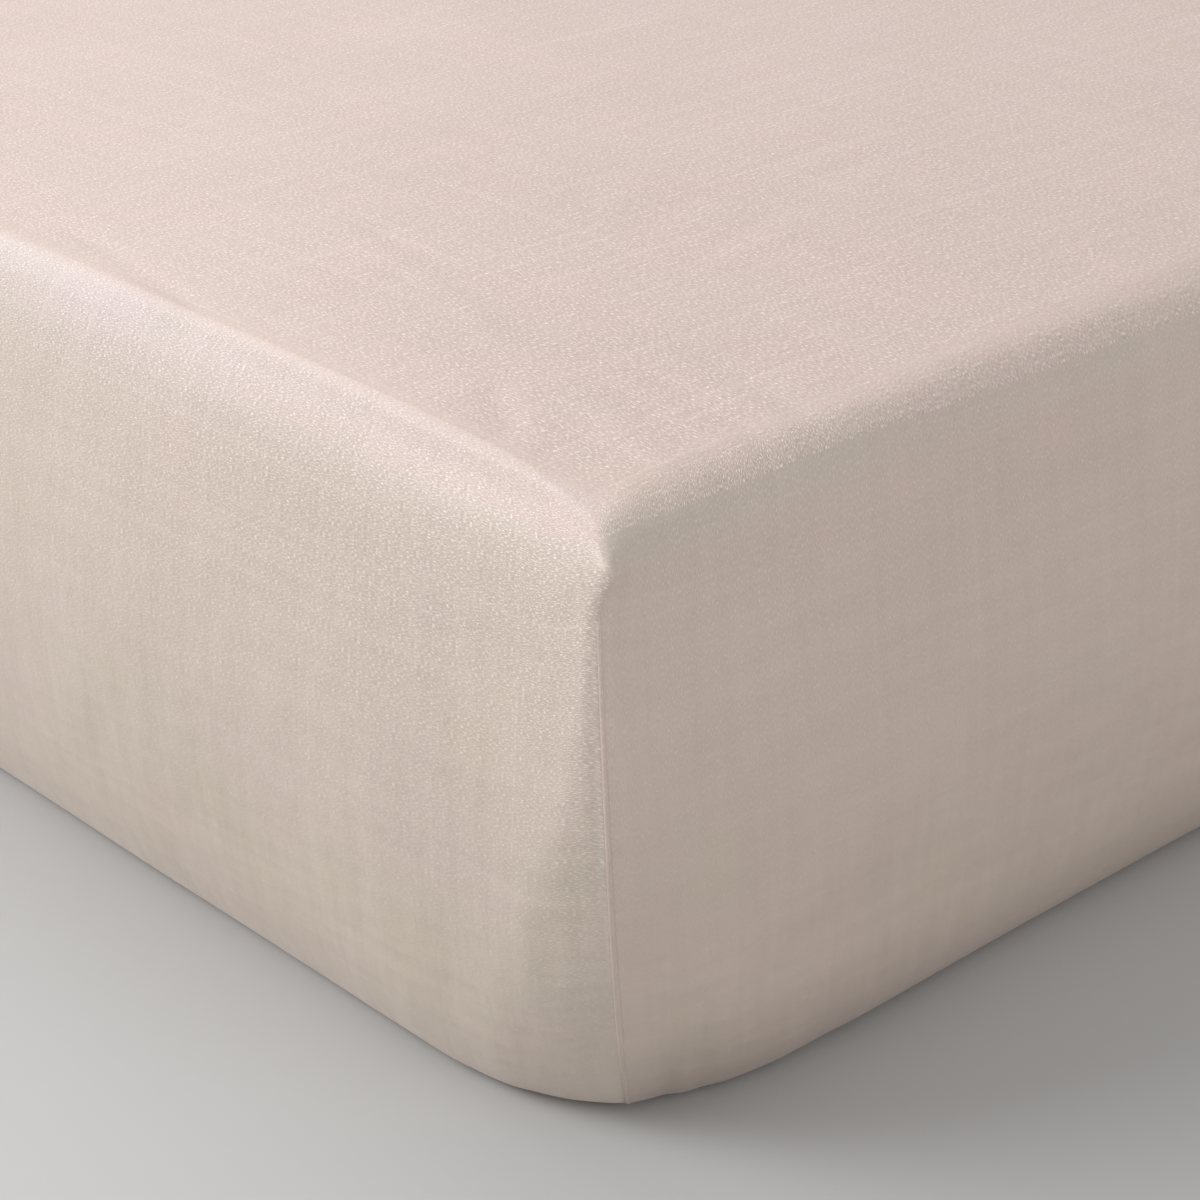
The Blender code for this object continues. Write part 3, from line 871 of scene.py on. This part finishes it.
def seamPath(signX, signY):
    # the corner's line down the flaps, finely and evenly spaced, with its outward directions
    arc, side = seam["arcSteps"], seam["sideSteps"]
    levels = flapLevels(arc, side, arc, arc)
    cornerX, cornerY = signX * sheet["halfWidth"], signY * sheet["halfLength"]
    line = flapPoints(np.array([cornerX]), np.array([cornerY]), levels)[:, 0]
    facing = np.radians(levels[:, 0])
    level = math.sqrt(0.5) * np.sin(facing)
    outward = np.stack([signX * level, signY * level, np.cos(facing)], -1)
    below = line[0, 2] - line[:, 2]
    begin = np.argmax(below > sheet["seamStart"])
    line, outward = line[begin:], outward[begin:]
    run = np.concatenate([[0], np.linalg.norm(np.diff(line, axis=0), axis=1).cumsum()])
    even = np.arange(0, run[-1], seam["stitch"] / seam["samples"])
    line, outward = (
        np.stack([np.interp(even, run, column) for column in rows.T], -1) for rows in (line, outward)
    )
    along = np.gradient(line, axis=0)
    along /= np.linalg.norm(along, axis=1, keepdims=True)
    outward -= along * (along * outward).sum(axis=1, keepdims=True)
    outward /= np.linalg.norm(outward, axis=1, keepdims=True)
    return even, line, outward, np.cross(along, outward)


def makeCornerSeam(name, signX, signY):
    run, line, outward, aside = seamPath(signX, signY)
    begin, end = seam["fall"]
    grown = seam["startShare"] + (1 - seam["startShare"]) * smooth(run / seam["taper"])
    taper, left = seam["endTaper"]
    grown *= smooth((run[-1] - run) / taper + left)
    grown *= 1 - (1 - seam["low"]) * smooth((run - begin) / (end - begin))
    dips = 1 - seam["stitchDip"] * (0.5 + 0.5 * np.cos(2 * math.pi * run / seam["stitch"]))
    turns = np.linspace(math.pi, 0, seam["sides"] + 1)
    width = seam["halfWidth"] * (1 + seam["widens"] * smooth(run / end))
    across = width[:, None] * np.cos(turns)[None, :] * np.sqrt(grown)[:, None]
    up = seam["rise"] * np.sin(turns)[None, :] * (grown * dips)[:, None] - seam["sunk"]
    points = line[:, None] + across[..., None] * aside[:, None] + up[..., None] * outward[:, None]
    rings, sides = points.shape[:2]
    faces, flats = [], []
    fold = seam["halfWidth"] / 2
    edge = sheet["halfLength"] - sides * fold
    down = sheet["halfWidth"] + sheet["seamStart"] + run
    for ring in range(rings - 1):
        upper, lower = ring * sides, (ring + 1) * sides
        for side in range(sides):
            after = (side + 1) % sides
            faces.append([upper + side, upper + after, lower + after, lower + side])
            left, right = edge + side * fold, edge + (side + 1) * fold
            flats += [(down[ring], left), (down[ring], right)]
            flats += [(down[ring + 1], right), (down[ring + 1], left)]
    faces.append(list(range(sides - 1, -1, -1)))
    faces.append([(rings - 1) * sides + side for side in range(sides)])
    flats += [(down[0], edge)] * sides + [(down[-1], edge)] * sides
    mesh = bpy.data.meshes.new(name)
    mesh.from_pydata(points.reshape(-1, 3).tolist(), [], faces)
    addFlatMap(mesh, flats)
    mesh.shade_smooth()
    obj = addObject(name, mesh)
    bpy.ops.object.mode_set(mode="EDIT")
    bpy.ops.mesh.select_all(action="SELECT")
    bpy.ops.mesh.normals_make_consistent(inside=False)
    bpy.ops.object.mode_set(mode="OBJECT")
    return obj


# a satin weave, whose floats run across the bed; fine broken glints of light on them are painted into its
# colour.
# Lengths are in metres on the flat cloth. Noises are given by their features to a metre, across the bed and
# along it.
sateenLook = {
    "deep": (0.500, 0.405, 0.352),
    "color": (0.715, 0.588, 0.520),
    # the colour of the painted glints of light
    "paintedGlint": (0.960, 0.885, 0.840),
    "roughness": 0.40,
    "roughnessVaries": 0.3,
    "specular": 0.50,
    "specularTint": (1.0, 0.91, 0.88),
    "sheen": 0.30,
    "sheenRoughness": 0.4,
    "sheenTint": (1.0, 0.88, 0.86),
    # the weave
    "floatSize": (0.0018, 0.00040),
    "topFloatSize": (0.0023, 0.0009),
    "topFloatInset": 0.020,  # they begin this far inside the top's edges
    "topFloatGrow": 60,  # and how fast, to a metre
    "topFloatContrast": 0.78,
    "floatRoughness": 0.6,
    "slubs": (9, 130),
    "warpSlubs": (110, 8),
    "clouds": (9, 9),
    "patches": (14, 14),
    "wrinkles": (22, 55),
    "threads": (3, 380),
    "warpThreads": (340, 3),
    # how much each shows in the colour
    "floatTone": 2.3,
    "slubTone": 0.25,
    "cloudTone": 0.3,
    "glintFrom": 0.54,
    "glintGain": 5.5,
    "threadFrom": 0.56,
    "threadGain": 0.55,
    # how much of the painted glint is left, as less light falls there
    "sideShine": 0.35,  # on the long sides, which stand in shade
    "shineFall": 1.3,  # how fast it is lost down the flaps
    "leastShine": 0.15,
    # what the colour is multiplied by
    "pale": (0.978, 1.000, 0.968),  # in the greener patches
    "paleFrom": 0.35,
    "paleGain": 3.0,
    "lower": (0.910, 0.952, 0.905),  # painted shade, darker and greener down each flap towards its foot
    "lowerRun": 0.380,
    # painted light: a pinker light on the top, growing in from its long edges
    "top": (1.036, 0.986, 1.004),
    "topGrow": 40,  # how fast it grows from the long edges, to a metre
    "topEnd": 120,  # how fast it ends past them
    "edge": (0.935, 1.005, 1.075),  # the bluish light along the foot and the head
    "edgeAt": 0.010,  # inside the end of the flat top
    "edgeFade": 30,  # how fast it fades from there, to a metre
    "edgeBegin": 200,  # how fast it begins at the drawn-in end of the top
    "edgeToCorner": (1.3, 1.1),  # its share in the middle, and what it loses towards the corners
    "side": (0.975, 1.000, 0.995),  # painted shade: the long sides greyer, as in shade
    "sideFootShade": (0.75, 0.75, 0.76),  # painted shade, darker at their very foot
    "sideFootFrom": 0.235,
    "sideFootRun": 0.070,
    # the relief
    "slubDepth": 0.0006,
    "wrinkleDepth": 0.0013,
    "topWrinkle": 0.2,  # share of it on the top
    "wrinkleGrow": 16,  # how fast it grows down the flaps, to a metre
    "floatDepth": 0.00006,
    "fineStrength": 0.35,  # of the slubs and the floats
}


def makeSateen():
    look = sateenLook
    cloth = Shader("sateen")
    flat = cloth.add("ShaderNodeUVMap", {"uv_map": "flat"})

    # where the flat cloth goes over the edges of the bed
    across = abs(cloth.add("ShaderNodeSeparateXYZ", inputs={0: flat}))
    along = abs(cloth.add("ShaderNodeSeparateXYZ", inputs={0: flat}, output="Y"))
    acrossBed = across < sheet["halfWidth"]
    down = (across - sheet["halfWidth"]).atLeast(along - sheet["halfLength"]).atLeast(0.0)
    lowered = down / look["lowerRun"]
    # shine says where the painted glints of light show: less on the long sides, which stand in shade, and
    # less down the flaps
    fallen = (1 - look["shineFall"] * lowered).atLeast(look["leastShine"])
    shine = (look["sideShine"] + (1 - look["sideShine"]) * acrossBed) * fallen

    # the weave, whose floats look larger and softer on the top
    fromSides = (sheet["halfWidth"] - look["topFloatInset"] - across) * look["topFloatGrow"]
    fromEnds = (sheet["halfLength"] - look["topFloatInset"] - along) * look["topFloatGrow"]
    onTop = fromSides.atMost(fromEnds).atLeast(0.0).atMost(1.0)
    floats = cloth.noise(flat, [1 / size for size in look["floatSize"]], 1.0, look["floatRoughness"])
    topFloats = cloth.noise(flat, [1 / size for size in look["topFloatSize"]], 1.0, look["floatRoughness"])
    topFloats = 0.5 + (topFloats - 0.5) * look["topFloatContrast"]
    floats = topFloats * onTop + floats * (1 - onTop)
    slubs = cloth.noise(flat, look["slubs"]) + cloth.noise(flat, look["warpSlubs"])
    clouds = cloth.noise(flat, look["clouds"], 3.0)
    threads = cloth.noise(flat, look["threads"], 1.0).atLeast(cloth.noise(flat, look["warpThreads"], 1.0))
    wrinkles = cloth.noise(flat, look["wrinkles"]) + cloth.noise(flat, look["wrinkles"][::-1])

    # the weave's tone, its contrast painted stronger where light falls, and painted highlights: glints and
    # bright threads of light mixed into the colour
    tone = 0.5 + (floats - 0.5) * look["floatTone"] * shine
    tone = tone + (slubs - 1) * look["slubTone"] + (clouds - 0.5) * look["cloudTone"]
    paintedGlint = ((floats - look["glintFrom"]) * look["glintGain"] * shine).atLeast(0.0)
    paintedGlint = paintedGlint + ((threads - look["threadFrom"]) * look["threadGain"] * shine).atLeast(0.0)
    color = cloth.blend(paintedGlint, cloth.blend(tone, look["deep"], look["color"]), look["paintedGlint"])

    # the tints: random pale patches, and painted light and shade: shade down the flaps, a pinker light on
    # the top, the bluish light along the ends, greyer shade on the long sides and darker shade at their foot
    patches = (cloth.noise(flat, look["patches"], 1.0) - look["paleFrom"]) * look["paleGain"]
    fromEdge = ((sheet["halfWidth"] - across) * look["topGrow"]).atMost(1.0)
    pastEnd = along - sheet["halfLength"]
    begun = ((pastEnd + sheet["topRoundEnds"]) * look["edgeBegin"]).atLeast(0.0).atMost(1.0)
    atEdge = (1 - abs(pastEnd + look["edgeAt"]) * look["edgeFade"]) * acrossBed * begun
    middle, loss = look["edgeToCorner"]
    atEdge = atEdge * (middle - across * loss / sheet["halfWidth"]).atMost(1.0)
    onSides = 1 - acrossBed
    # painted shade at the very foot of the long sides
    sideFootShadeShare = onSides * (down - look["sideFootFrom"]) / look["sideFootRun"]
    for tint, share in (
        ("pale", patches),
        ("lower", lowered),
        ("top", fromEdge * (1 - down * look["topEnd"])),
        ("edge", atEdge),
        ("side", onSides),
        ("sideFootShade", sideFootShadeShare),
    ):
        color = cloth.blend(share, color, look[tint], how="MULTIPLY")

    # the relief: slubs, wrinkles that are deeper on the flaps, and the floats
    normal = cloth.bump(slubs, look["slubDepth"], look["fineStrength"])
    wrinkled = look["topWrinkle"] + (down * look["wrinkleGrow"]).atMost(1 - look["topWrinkle"])
    normal = cloth.bump(wrinkles * wrinkled, look["wrinkleDepth"], under=normal)
    normal = cloth.bump(floats * shine, look["floatDepth"], look["fineStrength"], under=normal)
    roughness = look["roughness"] + (floats - 0.5) * look["roughnessVaries"]
    cloth.set(Base_Color=color, Roughness=roughness, Normal=normal)
    cloth.set(Specular_IOR_Level=look["specular"], Specular_Tint=(*look["specularTint"], 1))
    cloth.set(Sheen_Weight=look["sheen"], Sheen_Roughness=look["sheenRoughness"])
    cloth.set(Sheen_Tint=(*look["sheenTint"], 1))
    return cloth.material


fittedSheet = makeSheet()
sateen = makeSateen()
fittedSheet.data.materials.append(sateen)
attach(fittedSheet, "root")
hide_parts("fitted_sheet")
cornerSeams = []
for name, signX, signY in (
    ("seamFootNear", 1, -1),
    ("seamFootFar", -1, -1),
    ("seamHeadNear", 1, 1),
    ("seamHeadFar", -1, 1),
):
    cornerSeam = makeCornerSeam(name, signX, signY)
    cornerSeam.data.materials.append(sateen)
    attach(cornerSeam, "root")
    cornerSeams.append(cornerSeam)
for piece in [fittedSheet] + cornerSeams:
    print(piece.name, "has", sum(len(face.vertices) - 2 for face in piece.data.polygons), "triangles")


def makeMattress():
    obj = addObject("mattressCover", frame["nodes"]["mattress"].data.copy())
    obj.data.materials.clear()
    bpy.ops.object.mode_set(mode="EDIT")
    bpy.ops.mesh.select_all(action="SELECT")
    bpy.ops.mesh.remove_doubles(threshold=0.00001)
    bpy.ops.mesh.tris_convert_to_quads()
    bpy.ops.object.mode_set(mode="OBJECT")
    bpy.ops.object.shade_smooth()
    return obj


tickingLook = {
    "deep": (0.70, 0.68, 0.64),
    "color": (0.80, 0.78, 0.74),
    "weave": (700, 250),  # features to a metre
    "depth": 0.0006,
    "strength": 0.5,
    "roughness": (0.75, 0.10),  # and how much it varies
}


def makeTicking():
    look = tickingLook
    cover = Shader("ticking")
    weave = cover.noise(cover.add("ShaderNodeTexCoord", output="Object"), look["weave"])
    roughness, varies = look["roughness"]
    cover.set(Base_Color=cover.blend(weave, look["deep"], look["color"]))
    normal = cover.bump(weave, look["depth"], look["strength"])
    cover.set(Roughness=roughness + weave * varies, Normal=normal)
    return cover.material


mattressCover = makeMattress()
mattressCover.data.materials.append(makeTicking())
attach(mattressCover, "root")
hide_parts("mattress")
print("mattress: done")


studio = {
    "floorHalf": 8.0,
    "floorHeight": -0.0006,
    "floorColor": (0.55, 0.55, 0.55),
    "floorRoughness": 0.9,
    "skyStrength": 0.50,
    "lightAim": (0.1, -0.6, 0.2),
    # name, place, size, power
    "lights": [
        ("keyLight", (-1.0, -3.0, 2.0), 1.6, 58.5),
        ("topLight", (-2.0, 0.0, 2.5), 1.6, 25.0),
        ("edgeLight", (-3.0, -1.0, 1.5), 1.2, 19.5),
        ("sideLight", (3.2, -0.2, 0.8), 1.6, 19.0),
    ],
}


def makeFloor():
    half = studio["floorHalf"]
    bpy.ops.mesh.primitive_plane_add(size=2 * half, location=(0, 0, studio["floorHeight"]))
    floor = bpy.context.object
    floor.name = "floor"
    paint = Shader("floorPaint")
    paint.set(Base_Color=(*studio["floorColor"], 1), Roughness=studio["floorRoughness"])
    floor.data.materials.append(paint.material)


def makeLight():
    world = bpy.data.worlds.new("studio")
    bpy.context.scene.world = world
    world.use_nodes = True
    sky = world.node_tree.nodes["Background"]
    sky.inputs["Color"].default_value = (1, 1, 1, 1)
    sky.inputs["Strength"].default_value = studio["skyStrength"]
    for name, place, size, power in studio["lights"]:
        bpy.ops.object.light_add(type="AREA", location=place)
        light = bpy.context.object
        light.name = name
        light.data.size = size
        light.data.energy = power
        aim = Vector(studio["lightAim"]) - Vector(place)
        light.rotation_euler = aim.to_track_quat("-Z", "Y").to_euler()


view = {
    "place": (1.1999, -1.6274, 0.7523),
    "azimuth": 47.799,  # degrees, as the next two are
    "tilt": 25.2652,
    "roll": -0.5951,
    "lens": 88.58,
}


def makeCamera():
    azimuth, tilt, roll = (math.radians(view[key]) for key in ("azimuth", "tilt", "roll"))
    level = math.cos(tilt)
    ahead = Vector((-math.sin(azimuth) * level, math.cos(azimuth) * level, -math.sin(tilt)))
    right = Vector((math.cos(azimuth), math.sin(azimuth), 0))
    up = right.cross(ahead)
    turnedRight = math.cos(roll) * right + math.sin(roll) * up
    turnedUp = math.cos(roll) * up - math.sin(roll) * right
    camera = bpy.data.objects.new("camera", bpy.data.cameras.new("camera"))
    bpy.context.scene.collection.objects.link(camera)
    camera.data.lens = view["lens"]
    camera.matrix_world = Matrix((turnedRight, turnedUp, -ahead)).transposed().to_4x4()
    camera.location = view["place"]
    bpy.context.scene.camera = camera


makeFloor()
makeLight()
makeCamera()
bpy.context.scene.view_settings.view_transform = "Standard"
print("studio: done")

bpy.context.view_layer.update()
